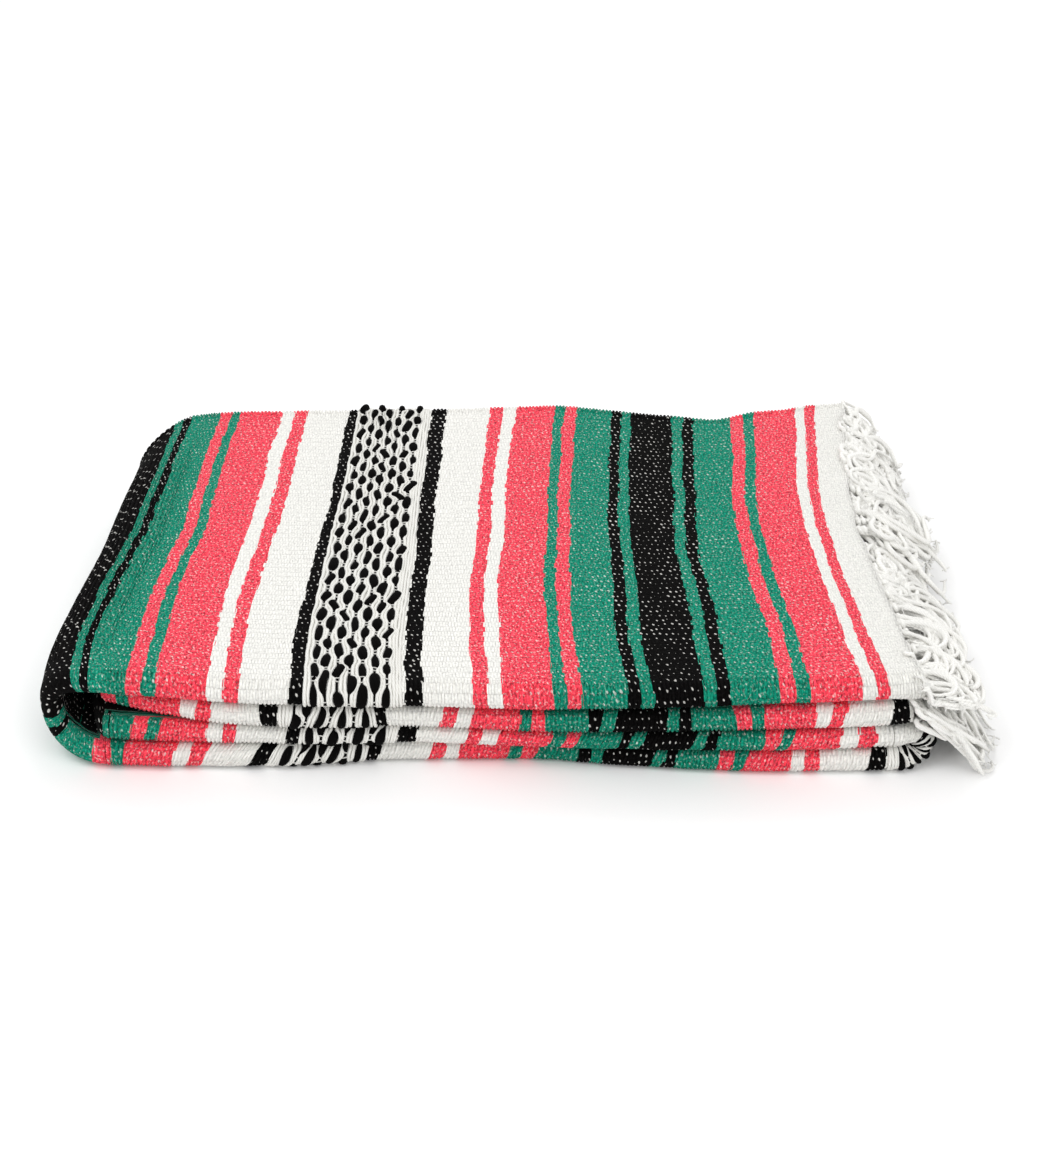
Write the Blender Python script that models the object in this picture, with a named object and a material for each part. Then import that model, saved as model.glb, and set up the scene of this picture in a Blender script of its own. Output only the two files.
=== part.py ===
"""A flat-woven striped blanket, folded to a sixteenth of its area and laid flat.

The blanket is 1.27 m wide and 1.89 m long. It is halved twice across its width, which gives a
bundle of four layers with a smooth nested fold at the front and one fold and two selvedges at
the back. Then it is halved twice along its length, which stacks four such bundles. The fringe
of the two woven ends comes out at the right, and the left end shows one fold wrapped in
another. X runs along the folded length, Y from the front to the back, and Z up.
"""

import math
import random

import bmesh
import bpy
import numpy as np

MM = 0.001

# The cloth, in millimetres. A bundle is four layers with some air between them.
CLOTH_THICK = 3.0
LAYERS_IN_BUNDLE = 4
BUNDLE = CLOTH_THICK * LAYERS_IN_BUNDLE
GAP = 0.3
FOLDED_DEPTH = 317.5

# Places along the folded length, before the sway below bends them.
WRAP_START = -205.0
WRAP_REACH = 33.0
WRAP_BELLY = 1.0
CENTRE_FOLD_START = 196.0
CENTRE_FOLD_REACH = 22.0
TOP_END = 210.0
SECOND_END = 205.0
STATION_FIRST = -185.0
STATION_STEP = 20.0
STATION_COUNT = 19
STATIONS_ACROSS = (-135.0, -100.0, -65.0, -30.0, 5.0, 40.0, 75.0, 110.0, 135.0, 148.0)

# How far each line across the cloth lies from its straight place. One column for each place
# along the length, one row for each place from the front to the back.
SWAY_ALONG = (-218, -178, -108, -49, -16, 73, 136, 210)
SWAY_ACROSS = (-160, -105, -60, 0, 57, 155)
SWAY = (
    (0.0, 0.0, 0.0, 0.0, 0.0, 0.0, 0.0, 0.0),
    (-2.7, -1.7, -1.2, -2.4, -2.5, -3.0, -0.8, -5.0),
    (2.2, -1.5, 0.1, -1.2, -3.3, -3.5, -3.5, -9.0),
    (6.2, 2.5, 2.7, 0.8, -0.8, -2.6, -6.0, -11.0),
    (9.6, 4.5, 6.1, 1.8, 1.5, -0.5, -2.5, -8.0),
    (14.0, 9.3, 9.2, 4.3, 6.5, 5.9, 6.5, 3.0),
)

# Heights of the faces between the bundles, and of the top, at places along the length. The
# columns are: place, then the height over the first, second, third and fourth bundle.
FRONT_HEIGHTS = (
    (-235, 15.0, 29.0, 41.0, 52.5),
    (-190, 15.5, 29.0, 41.0, 52.5),
    (-135, 14.5, 26.0, 39.0, 51.0),
    (-46, 13.5, 23.0, 35.5, 48.0),
    (19, 12.5, 22.0, 35.0, 48.0),
    (118, 12.5, 24.0, 38.5, 51.5),
    (160, 12.5, 25.0, 40.0, 52.5),
    (230, 13.0, 26.0, 39.5, 51.5),
)
BACK_HEIGHTS = (
    (-235, 11.5, 23.0, 34.5, 46.0),
    (-190, 12.0, 24.0, 36.0, 48.0),
    (-135, 12.0, 24.0, 36.0, 48.5),
    (-46, 12.5, 24.5, 37.0, 49.5),
    (19, 12.5, 25.0, 37.5, 50.0),
    (118, 11.5, 23.5, 35.0, 46.5),
    (160, 12.0, 24.0, 36.0, 48.0),
    (230, 13.5, 27.0, 40.5, 54.0),
)

# The front and back edge of each bundle, from the bottom one to the top one.
FRONT_EDGES = (
    (-235, -152.5, -149.5, -147.5, -144.5),
    (-190, -154.5, -152.5, -151.5, -150.5),
    (-135, -155.0, -154.5, -154.5, -155.0),
    (-46, -149.5, -152.0, -153.0, -154.0),
    (19, -150.5, -156.0, -156.5, -157.0),
    (70, -156.5, -158.5, -158.5, -158.5),
    (118, -161.0, -160.0, -159.5, -159.0),
    (160, -161.5, -159.5, -159.5, -158.5),
    (230, -159.5, -156.5, -155.5, -153.5),
)
BACK_EDGES = (
    (-235, 150.0, 152.0, 151.0, 151.0),
    (-190, 157.0, 158.0, 155.0, 157.0),
    (-135, 159.0, 157.0, 158.5, 157.5),
    (-46, 160.0, 156.5, 159.0, 158.5),
    (19, 159.0, 158.0, 160.0, 160.5),
    (118, 157.5, 159.0, 156.5, 154.5),
    (160, 158.0, 160.5, 158.0, 157.5),
    (230, 159.0, 159.5, 161.0, 162.0),
)

# Soft troughs (minus) and ridges (plus) in the top: place along, place across, half length,
# half width, turn in degrees from the X axis, and height.
SOFT_FOLDS = (
    (112.0, 70.0, 80.0, 22.0, 100.0, -1.3),
    (126.0, 158.0, 46.0, 17.0, 95.0, -4.0),
    (-60.0, -60.0, 90.0, 28.0, 75.0, -0.9),
    (40.0, -20.0, 120.0, 26.0, 97.0, 0.9),
    (175.0, -40.0, 80.0, 22.0, 100.0, 1.2),
    (-165.0, 20.0, 95.0, 24.0, 82.0, 0.8),
    (-120.0, 110.0, 60.0, 22.0, 20.0, -0.8),
)

# The rounding of a bundle's front fold, from the edge to where its faces run flat.
TOP_ROLL = 11.0
FRONT_ROLL = 7.5
FRONT_STEPS = 8
BACK_FOLD_ROLL = 3.4
SELVEDGE_ROLL = 1.5
GROOVE_DEPTH = 4.5
GROOVE_HALF = 0.018

# How far the outer layers draw in at the two ends of the left fold.
CORNER_BACK = 34.0
CORNER_FRONT = 9.0
INNER_CORNER_BACK = 22.0
INNER_CORNER_FRONT = 5.0
WRAP_STEPS = 9
WRAP_SQUARENESS = 2.4
WRAP_MIDDLE = 0.58
TEARDROP = 1.1

# The fringe. Each end has a row of knots, built as one narrow strip, and two rows of locks.
STRIP_WIDTH = 3.2
STRIP_INSET = 1.6
STRIP_ENDS = 7.0
LOCKS_IN_ROW = 46
LOCK_STEPS = 4
LOCK_FACE = 0.56
LOCK_TIP = 0.75
LOWEST_TIP = 1.2
# Columns: reach along X, drop, power of the fall, jitter of the reach, of the drop, and sideways.
TOP_ROWS = ((33.0, 25.0, 2.1, 3.0, 1.5, 1.3), (41.0, 19.0, 2.3, 4.5, 2.5, 1.3))
SECOND_ROWS = ((25.0, 27.0, 2.4, 1.4, 0.6, 1.1), (35.0, 32.0, 2.2, 2.6, 0.8, 1.1))
# How far the locks reach at places from front to back, as a share of the rows above. The
# columns are: place across, top fringe, second fringe.
FRINGE_SPREAD = (
    (-160, 1.00, 1.30),
    (-110, 1.08, 1.18),
    (-65, 0.95, 1.00),
    (-25, 0.97, 0.95),
    (5, 1.28, 1.00),
    (40, 1.00, 1.00),
    (80, 0.86, 0.92),
    (130, 0.64, 0.85),
    (155, 0.42, 0.80),
)

# Colours, linear.
CLOTH_GREEN = (0.015, 0.275, 0.158, 1.0)
CLOTH_PINK = (0.965, 0.102, 0.147, 1.0)
CLOTH_WHITE = (0.905, 0.896, 0.855, 1.0)
CLOTH_BLACK = (0.007, 0.006, 0.006, 1.0)
FRINGE_WHITE = (0.83, 0.838, 0.807, 1.0)
COTTON_ROUGHNESS = 0.9


def through(knots, values, at):
    """Read a smooth curve through a table at one or many places."""
    knots = np.asarray(knots, float)
    values = np.asarray(values, float)
    at = np.clip(at, knots[0], knots[-1])
    i = np.clip(np.searchsorted(knots, at) - 1, 0, len(knots) - 2)
    slopes = np.gradient(values, knots)
    step = knots[i + 1] - knots[i]
    t = (at - knots[i]) / step
    rise = values[i] * (1 + 2 * t) * (1 - t) ** 2 + values[i + 1] * t * t * (3 - 2 * t)
    lean = slopes[i] * t * (1 - t) ** 2 + slopes[i + 1] * t * t * (t - 1)
    return rise + lean * step


def column(table, number, at):
    """Read one column of a table whose first column is the place along the length."""
    return float(through([row[0] for row in table], [row[number] for row in table], at))


def swayed(along, across):
    """Where a point of the straight cloth comes to lie along X."""
    here = [float(through(SWAY_ACROSS, [row[i] for row in SWAY], across))
            for i in range(len(SWAY_ALONG))]
    return along + float(through(SWAY_ALONG, here, along))


def soft_folds(along, across):
    """The height that the soft troughs and ridges add to the top."""
    total = 0.0
    for x, y, half_length, half_width, turn, height in SOFT_FOLDS:
        c = math.cos(math.radians(turn))
        s = math.sin(math.radians(turn))
        length = ((along - x) * c + (across - y) * s) / half_length
        width = ((across - y) * c - (along - x) * s) / half_width
        total += height * math.exp(-length * length - width * width)
    return total


def level(face, along, across):
    """Height of the face over a number of bundles, 0 for the floor and 4 for the top."""
    if face == 0:
        return 0.0
    v = min(max(across / FOLDED_DEPTH + 0.5, 0.0), 1.0)
    v = v * v * (3 - 2 * v)
    front = column(FRONT_HEIGHTS, face, along)
    back = column(BACK_HEIGHTS, face, along)
    return front * (1 - v) + back * v + soft_folds(along, across) * face / 4


def under(bundle, along, across):
    """Lower face of a bundle, 0 for the bottom one and 3 for the top one."""
    return level(bundle, along, across) + (GAP / 2 if bundle else 0.0)


def over(bundle, along, across):
    """Upper face of a bundle."""
    return level(bundle + 1, along, across) - (GAP / 2 if bundle < 3 else 0.0)


def flat_station(bundle, along):
    """The two sides of a bundle at a place along the length, as functions of the place across.

    The first side is the one that faces down, the second the one that faces up.
    """
    def low(across):
        return swayed(along, across), under(bundle, along, across)

    def high(across):
        return swayed(along, across), over(bundle, along, across)

    return low, high


def squircle(share):
    """Cosine and sine of a half turn, drawn out towards a square."""
    power = 2 / WRAP_SQUARENESS
    c = math.cos(math.pi * share)
    s = math.sin(math.pi * share)
    return math.copysign(abs(c) ** power, c), abs(s) ** power


def turn_station(share, start, reach, outer, inner, hollow, side):
    """The two sides of the cloth where it turns back, share of the way from its top down.

    outer and inner each hold the functions of the upper and lower face that the turn joins.
    side is -1 for a fold that reaches to the left and 1 for one that reaches to the right.
    """
    c, s = squircle(share)
    belly = WRAP_BELLY if side < 0 else 0.0

    def out_to(across, far):
        far += belly * (1 - (2 * across / FOLDED_DEPTH) ** 2)
        return swayed(start, across) + side * far * s

    def outside(across):
        top = outer[0](start, across)
        bottom = outer[1](start, across)
        middle = bottom + (top - bottom) * WRAP_MIDDLE
        z = middle + c * ((top - middle) if c > 0 else (middle - bottom))
        return out_to(across, reach), z

    def inside(across):
        top = inner[0](start, across)
        bottom = inner[1](start, across)
        middle = bottom + (top - bottom) * WRAP_MIDDLE
        z = middle + c * ((top - middle) if c > 0 else (middle - bottom))
        z += hollow * math.sin(2 * math.pi * share)
        return out_to(across, reach - BUNDLE), z

    return inside, outside


def profile(front, back, roll, fold_outside, drawn_in=0.0):
    """One section of a bundle: (place across, share of the thickness) round its rim.

    The rim starts on the first side at the back, runs to the front, turns over the nested
    front fold, comes back on the second side, and goes down the back edge: one fold of two
    layers, and two selvedges, with a groove between each. drawn_in is how far the back edge
    of a turn lies in front of the straight one.
    """
    across = [y - drawn_in * (y / FOLDED_DEPTH + 0.5) for y in STATIONS_ACROSS]
    back -= drawn_in
    first = [(y, 0.0) for y in reversed(across)]
    second = [(y, 1.0) for y in across]
    arc = []
    for i in range(1, FRONT_STEPS):
        angle = math.pi * i / FRONT_STEPS
        arc.append((front + roll * (1 - math.sin(angle)), 0.5 - 0.5 * math.cos(angle)))
    arc.insert(0, (front + roll, 0.0))
    arc.append((front + roll, 1.0))
    layers = ((0.0, 0.25, SELVEDGE_ROLL), (0.25, 0.5, SELVEDGE_ROLL), (0.5, 1.0, BACK_FOLD_ROLL))
    if not fold_outside:
        layers = tuple((1 - high, 1 - low, r) for low, high, r in reversed(layers))
    edge = []
    for low, high, rounding in reversed(layers):
        low_in = low + (GROOVE_HALF if low else 0.0)
        high_in = high - (GROOVE_HALF if high < 1 else 0.0)
        half = (high_in - low_in) / 2
        middle = (high_in + low_in) / 2
        if high < 1:
            edge.append((back - GROOVE_DEPTH, high_in))
        for turn in (90, 45, 0, -45, -90) if rounding > SELVEDGE_ROLL else (90, 0, -90):
            angle = math.radians(turn)
            edge.append((back - rounding * (1 - math.cos(angle)), middle + half * math.sin(angle)))
        if low > 0:
            edge.append((back - GROOVE_DEPTH, low_in))
    return first, arc, second, edge


def lofted(name, sections, material, collection):
    """A closed body through sections that all have the same number of points."""
    mesh = bmesh.new()
    rings = []
    for sides, parts in sections:
        ring = []
        for y, share in [point for part in parts for point in part]:
            x0, z0 = sides[0](y)
            x1, z1 = sides[1](y)
            place = (x0 + (x1 - x0) * share, y, z0 + (z1 - z0) * share)
            ring.append(mesh.verts.new([value * MM for value in place]))
        rings.append(ring)
    count = len(rings[0])
    for one, two in zip(rings, rings[1:]):
        for i in range(count):
            j = (i + 1) % count
            split_quad(mesh, one[i], one[j], two[j], two[i])
    runs = [len(part) for part in sections[0][1]]
    for ring in (rings[0], rings[-1]):
        cap(mesh, ring, runs)
    bmesh.ops.recalc_face_normals(mesh, faces=mesh.faces)
    if mesh.calc_volume(signed=True) < 0:
        bmesh.ops.reverse_faces(mesh, faces=mesh.faces)
    return placed(name, mesh, material, collection)


def split_quad(mesh, a, b, c, d):
    """Two triangles, parted on the diagonal that rises along X and Y, as on the neighbour."""
    first = (c.co.x - a.co.x) * (c.co.y - a.co.y)
    second = (d.co.x - b.co.x) * (d.co.y - b.co.y)
    if first > second:
        mesh.faces.new((a, b, c))
        mesh.faces.new((a, c, d))
    else:
        mesh.faces.new((a, b, d))
        mesh.faces.new((b, c, d))


def cap(mesh, ring, runs):
    """Close one end with strips across the thickness, so that it follows the cloth's sway."""
    first = ring[:runs[0]]
    arc = ring[runs[0]:runs[0] + runs[1]]
    second = ring[runs[0] + runs[1]:sum(runs[:3])]
    edge = ring[sum(runs[:3]):]
    first.reverse()
    for i in range(len(first) - 1):
        mesh.faces.new((first[i], first[i + 1], second[i + 1], second[i]))
    mesh.faces.new([first[0]] + arc + [second[0]])
    mesh.faces.new([second[-1]] + edge + [first[-1]])


def placed(name, mesh, material, collection):
    """Turn a bmesh into a smooth-shaded object of the blanket."""
    data = bpy.data.meshes.new(name)
    mesh.to_mesh(data)
    mesh.free()
    data.materials.append(material)
    data.shade_smooth()
    data.set_sharp_from_angle(angle=math.radians(50))
    item = bpy.data.objects.new(name, data)
    collection.objects.link(item)
    return item


def along_stations(first, last):
    """Places along the length between two ends. All bundles share the inner ones."""
    inner = [STATION_FIRST + STATION_STEP * i for i in range(STATION_COUNT)]
    if last < first:
        inner.reverse()
    return [first] + inner + [last]


def flat_parts(bundle, along, fold_outside):
    """The section of a bundle at a place along the length."""
    roll = TOP_ROLL if bundle == 3 else FRONT_ROLL
    front = column(FRONT_EDGES, bundle + 1, along)
    back = column(BACK_EDGES, bundle + 1, along)
    return profile(front, back, roll, fold_outside)


def cotton(name, colour):
    """Matt woven cotton and acrylic yarn."""
    material = bpy.data.materials.new(name)
    material.use_nodes = True
    shader = material.node_tree.nodes["Principled BSDF"]
    shader.inputs["Base Color"].default_value = colour
    shader.inputs["Roughness"].default_value = COTTON_ROUGHNESS
    shader.inputs["Metallic"].default_value = 0.0
    material.diffuse_color = colour
    return material


def top_stretch(collection):
    """The top bundle, from its woven end, with the outer wrap of the left fold."""
    sections = []
    for along in along_stations(TOP_END, WRAP_START):
        sections.append((flat_station(3, along), flat_parts(3, along, True)))
    front = column(FRONT_EDGES, 4, WRAP_START)
    back = column(BACK_EDGES, 4, WRAP_START)
    front_end = column(FRONT_EDGES, 1, WRAP_START)
    back_end = column(BACK_EDGES, 1, WRAP_START)
    outer = (lambda x, y: over(3, x, y), lambda x, y: under(0, x, y))
    inner = (lambda x, y: under(3, x, y), lambda x, y: over(0, x, y))
    for i in range(1, WRAP_STEPS + 1):
        share = i / WRAP_STEPS
        bow = math.sin(math.pi * share) ** 1.5
        y_front = front + (front_end - front) * share + CORNER_FRONT * bow
        y_back = back + (back_end - back) * share
        roll = TOP_ROLL + (FRONT_ROLL - TOP_ROLL) * share
        sides = turn_station(share, WRAP_START, WRAP_REACH, outer, inner, 0.0, -1)
        sections.append((sides, profile(y_front, y_back, roll, True, CORNER_BACK * bow)))
    return lofted("top_stretch", sections, cotton("woven_green", CLOTH_GREEN), collection)


def bottom_stretch(collection):
    """The bottom bundle, flat on the floor, with the centre fold at its right end."""
    sections = []
    for along in along_stations(WRAP_START + GAP, CENTRE_FOLD_START):
        low, high = flat_station(0, along)
        sections.append(((high, low), flat_parts(0, along, True)))
    front = column(FRONT_EDGES, 1, CENTRE_FOLD_START)
    back = column(BACK_EDGES, 1, CENTRE_FOLD_START)
    front_end = column(FRONT_EDGES, 2, CENTRE_FOLD_START)
    back_end = column(BACK_EDGES, 2, CENTRE_FOLD_START)
    outer = (lambda x, y: over(1, x, y), lambda x, y: under(0, x, y))
    inner = (lambda x, y: under(1, x, y), lambda x, y: over(0, x, y))
    for i in range(1, WRAP_STEPS + 1):
        share = i / WRAP_STEPS
        bow = math.sin(math.pi * share) ** 1.5
        y_front = front + (front_end - front) * share + INNER_CORNER_FRONT * bow
        y_back = back + (back_end - back) * share
        sides = turn_station(
            1 - share, CENTRE_FOLD_START, CENTRE_FOLD_REACH, outer, inner, TEARDROP, 1
        )
        rim = profile(y_front, y_back, FRONT_ROLL, True, INNER_CORNER_BACK * bow)
        sections.append((sides, rim))
    return lofted("bottom_stretch", sections, cotton("woven_black", CLOTH_BLACK), collection)


def third_stretch(collection):
    """The bundle over the bottom one, with the inner wrap of the left fold."""
    sections = []
    for along in along_stations(CENTRE_FOLD_START - GAP, WRAP_START):
        low, high = flat_station(1, along)
        sections.append(((high, low), flat_parts(1, along, False)))
    front = column(FRONT_EDGES, 2, WRAP_START)
    back = column(BACK_EDGES, 2, WRAP_START)
    front_end = column(FRONT_EDGES, 3, WRAP_START)
    back_end = column(BACK_EDGES, 3, WRAP_START)
    outer = (lambda x, y: over(2, x, y), lambda x, y: under(1, x, y))
    inner = (lambda x, y: under(2, x, y), lambda x, y: over(1, x, y))
    reach = WRAP_REACH - BUNDLE - GAP
    for i in range(1, WRAP_STEPS + 1):
        share = i / WRAP_STEPS
        bow = math.sin(math.pi * share) ** 1.5
        y_front = front + (front_end - front) * share + INNER_CORNER_FRONT * bow
        y_back = back + (back_end - back) * share
        sides = turn_station(1 - share, WRAP_START, reach, outer, inner, TEARDROP, -1)
        rim = profile(y_front, y_back, FRONT_ROLL, False, INNER_CORNER_BACK * bow)
        sections.append((sides, rim))
    return lofted("third_stretch", sections, cotton("woven_white", CLOTH_WHITE), collection)


def second_stretch(collection):
    """The bundle under the top one, which ends in the other fringe."""
    sections = []
    for along in along_stations(WRAP_START + GAP, SECOND_END):
        low, high = flat_station(2, along)
        sections.append(((low, high), flat_parts(2, along, False)))
    return lofted("second_stretch", sections, cotton("woven_pink", CLOTH_PINK), collection)


def fringe(name, bundle, end, rows, seed, collection, material):
    """A row of knots along a woven end, with two rows of loose locks that fall from it."""
    chance = random.Random(seed)
    front = column(FRONT_EDGES, bundle + 1, end) + STRIP_ENDS
    back = column(BACK_EDGES, bundle + 1, end) - STRIP_ENDS
    mesh = bmesh.new()
    lines = []
    for i in range(LOCKS_IN_ROW + 1):
        y = front + (back - front) * i / LOCKS_IN_ROW
        inner = swayed(end, y) + GAP
        low = under(bundle, end, y) + STRIP_INSET
        high = over(bundle, end, y) - STRIP_INSET
        middle = (low + high) / 2
        corners = (
            (inner, high), (inner, low), (inner + STRIP_WIDTH, low),
            (inner + STRIP_WIDTH, middle), (inner + STRIP_WIDTH, high),
        )
        lines.append([mesh.verts.new((x * MM, y * MM, z * MM)) for x, z in corners])
    roots = []
    for one, two in zip(lines, lines[1:]):
        for i in range(len(one)):
            j = (i + 1) % len(one)
            face = mesh.faces.new((one[i], two[i], two[j], one[j]))
            if i in (2, 3):
                roots.append((i - 2, face))
    mesh.faces.new(lines[0])
    mesh.faces.new(list(reversed(lines[-1])))
    bmesh.ops.recalc_face_normals(mesh, faces=mesh.faces)
    spread = 1 if bundle == 3 else 2
    for row, root in roots:
        share = column(FRINGE_SPREAD, spread, root.calc_center_median().y / MM)
        lock(mesh, root, rows[row], share, chance)
    return placed(name, mesh, material, collection)


def lock(mesh, root, row, share, chance):
    """Draw one four-sided lock out of its place on the strip of knots."""
    reach, drop, power, reach_jitter, drop_jitter, side_jitter = row
    reach = share * (reach + chance.uniform(-reach_jitter, reach_jitter))
    drop = min(share, 1.0) * (drop + chance.uniform(-drop_jitter, drop_jitter))
    side = chance.uniform(-side_jitter, side_jitter)
    curl = chance.uniform(0.0, 0.16)
    start = root.calc_center_median() / MM
    drop = min(drop, start.z - LOWEST_TIP)
    shape = [corner.co / MM - start for corner in root.verts]
    size = [[value * LOCK_FACE for value in offset] for offset in shape]
    face = root
    for step in range(1, LOCK_STEPS + 1):
        t = step / LOCK_STEPS
        x = start.x + reach * (t - curl * t ** 3)
        z = start.z - drop * t ** power
        y = start.y + side * math.sin(math.pi * t)
        thick = 1 + (LOCK_TIP - 1) * t
        tilt = math.atan2(drop * power * t ** (power - 1), reach)
        made = bmesh.ops.extrude_discrete_faces(mesh, faces=[face])
        face = made["faces"][0]
        for vert, offset in zip(face.verts, size):
            across = offset[1] * thick
            tall = offset[2] * thick
            vert.co = [
                (x + tall * math.sin(tilt)) * MM,
                (y + across) * MM,
                (z + tall * math.cos(tilt)) * MM,
            ]


def clear_scene():
    """Start from an empty scene."""
    for item in list(bpy.data.objects):
        bpy.data.objects.remove(item, do_unlink=True)


def centre_on_floor(items):
    """Move the whole blanket so that its origin is under the middle of its outline."""
    corners = np.array([tuple(vert.co) for item in items for vert in item.data.vertices])
    low = corners.min(axis=0)
    high = corners.max(axis=0)
    middle = (low + high) / 2
    for item in items:
        for vert in item.data.vertices:
            vert.co = (vert.co.x - middle[0], vert.co.y - middle[1], vert.co.z - low[2])


clear_scene()
blanket = bpy.data.collections.new("striped_blanket")
bpy.context.scene.collection.children.link(blanket)
yarn = cotton("fringe_cotton", FRINGE_WHITE)
pieces = [
    top_stretch(blanket),
    second_stretch(blanket),
    third_stretch(blanket),
    bottom_stretch(blanket),
    fringe("top_fringe", 3, TOP_END, TOP_ROWS, 11, blanket, yarn),
    fringe("second_fringe", 2, SECOND_END, SECOND_ROWS, 23, blanket, yarn),
]
centre_on_floor(pieces)
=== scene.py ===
"""The looks of a folded striped blanket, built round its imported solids."""

import math

import bmesh
import bpy
import numpy as np
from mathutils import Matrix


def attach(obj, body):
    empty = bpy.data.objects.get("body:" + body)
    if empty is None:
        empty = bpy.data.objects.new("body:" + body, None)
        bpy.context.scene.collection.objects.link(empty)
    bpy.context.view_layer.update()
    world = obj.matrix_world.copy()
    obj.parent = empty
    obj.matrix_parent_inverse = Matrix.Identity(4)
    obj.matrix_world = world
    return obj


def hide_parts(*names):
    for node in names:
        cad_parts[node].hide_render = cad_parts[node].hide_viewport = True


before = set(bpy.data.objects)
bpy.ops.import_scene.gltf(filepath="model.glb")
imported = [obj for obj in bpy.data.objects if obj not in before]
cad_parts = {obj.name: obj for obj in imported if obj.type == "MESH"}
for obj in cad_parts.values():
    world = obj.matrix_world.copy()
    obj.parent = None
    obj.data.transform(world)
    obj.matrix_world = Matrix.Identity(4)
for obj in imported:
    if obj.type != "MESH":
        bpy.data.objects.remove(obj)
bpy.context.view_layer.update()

# The studio. The camera stands before the front fold and looks down at the blanket. Large soft
# lights, a bright surround and a floor of white paper leave only a faint shadow.

MM = 0.001
# The solids' origin lies under the middle of their outline. The sizes below are measured from
# a point on the floor this far away, in mm, straight before the camera.
ORIGIN = np.array([6.8019, -0.3935, 0.0])
CAMERA_AT = (0.0, -957.0, 611.0)
CAMERA_DOWN = 32.0
CAMERA_RIGHT = 0.5
CAMERA_LENS = 60.0
PAPER = ("#F9F9F9", "#FDFDFD")
SURROUND = 0.82
# Name, place in metres, size in metres and power in watts.
LIGHTS = (
    ("key_light", (-0.9, -0.5, 1.5), 1.0, 9.4),
    ("fill_light", (1.1, -1.2, 0.95), 1.4, 6.5),
    ("back_light", (0.3, 1.4, 1.3), 1.2, 8.0),
)


def linear(code):
    """A colour given as sRGB hex, as the linear values that Blender takes."""
    parts = [int(code[i:i + 2], 16) / 255 for i in (1, 3, 5)]
    return [p / 12.92 if p <= 0.04045 else ((p + 0.055) / 1.055) ** 2.4 for p in parts] + [1.0]


def node(tree, kind, inputs=(), **settings):
    """Add a shader node, set its properties, set or link its inputs, and give its outputs."""
    made = tree.nodes.new("ShaderNode" + kind)
    for key, value in settings.items():
        setattr(made, key, value)
    for key, value in inputs.items() if isinstance(inputs, dict) else enumerate(inputs):
        if isinstance(value, bpy.types.NodeSocket):
            tree.links.new(value, made.inputs[key])
        else:
            made.inputs[key].default_value = value
    return made.outputs


scene = bpy.context.scene
scene.view_settings.view_transform = "Standard"
lens = bpy.data.cameras.new("camera")
lens.sensor_fit = "AUTO"
lens.sensor_width = 36.0
lens.lens = CAMERA_LENS
lens.clip_start = 0.01
camera = bpy.data.objects.new("camera", lens)
camera.location = (np.array(CAMERA_AT) - ORIGIN) * MM
camera.rotation_euler = (math.radians(90 - CAMERA_DOWN), 0.0, math.radians(-CAMERA_RIGHT))
scene.collection.objects.link(camera)
scene.camera = camera
world = bpy.data.worlds.new("studio")
world.use_nodes = True
world.node_tree.nodes["Background"].inputs["Color"].default_value = linear("#FFFFFF")
world.node_tree.nodes["Background"].inputs["Strength"].default_value = SURROUND
scene.world = world
for name, stand, size, power in LIGHTS:
    light = bpy.data.lights.new(name, "AREA")
    light.size = size
    light.energy = power
    lamp = bpy.data.objects.new(name, light)
    lamp.location = stand
    aim = -np.array(stand) / np.linalg.norm(stand)
    lamp.rotation_euler = (math.acos(-aim[2]), 0.0, math.atan2(aim[1], aim[0]) - math.pi / 2)
    scene.collection.objects.link(lamp)

# Smooth white paper: matt, with a grain too fine to tell from plain white.
paper = bpy.data.materials.new("white_paper")
paper.use_nodes = True
grain = node(paper.node_tree, "TexNoise", {
    "Vector": node(paper.node_tree, "TexCoord")["Object"], "Scale": 900.0, "Detail": 3.0})[0]
tone = node(paper.node_tree, "Mix", {0: grain, 6: linear(PAPER[0]), 7: linear(PAPER[1])},
            data_type="RGBA")[2]
paper_shader = paper.node_tree.nodes["Principled BSDF"]
paper.node_tree.links.new(tone, paper_shader.inputs["Base Color"])
paper_shader.inputs["Roughness"].default_value = 0.9
sheet = bmesh.new()
bmesh.ops.create_grid(sheet, x_segments=2, y_segments=2, size=4.0)
floor_mesh = bpy.data.meshes.new("floor")
sheet.to_mesh(floor_mesh)
sheet.free()
floor_mesh.materials.append(paper)
floor = bpy.data.objects.new("floor", floor_mesh)
scene.collection.objects.link(floor)

# The folded cloth. One woven blanket is halved twice across its width into a bundle of four
# layers, and the bundle is halved twice along its length. So four stretches of it lie loose on
# each other: a wide turn at the left joins the top and bottom ones, round a smaller turn.

# Thickness of a bundle, room between two bundles, and width of one layer, all in mm.
BUNDLE = 12.0
GAP = 0.3
LAYER = 317.5
# Where the turns start along X, and how far past that they reach. The wide turn bellies out a
# little at its middle, and is squarer than a half circle.
WRAP_START = -205.0
WRAP_REACH = 33.0
WRAP_BELLY = 1.0
CENTRE_FOLD_START = 196.0
CENTRE_FOLD_REACH = 22.0
TOP_END = 210.0
SECOND_END = 205.0
WRAP_SQUARENESS = 2.4
WRAP_MIDDLE = 0.58
TEARDROP = 1.1
TOP_ROLL = 11.0
FRONT_ROLL = 7.5

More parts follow.
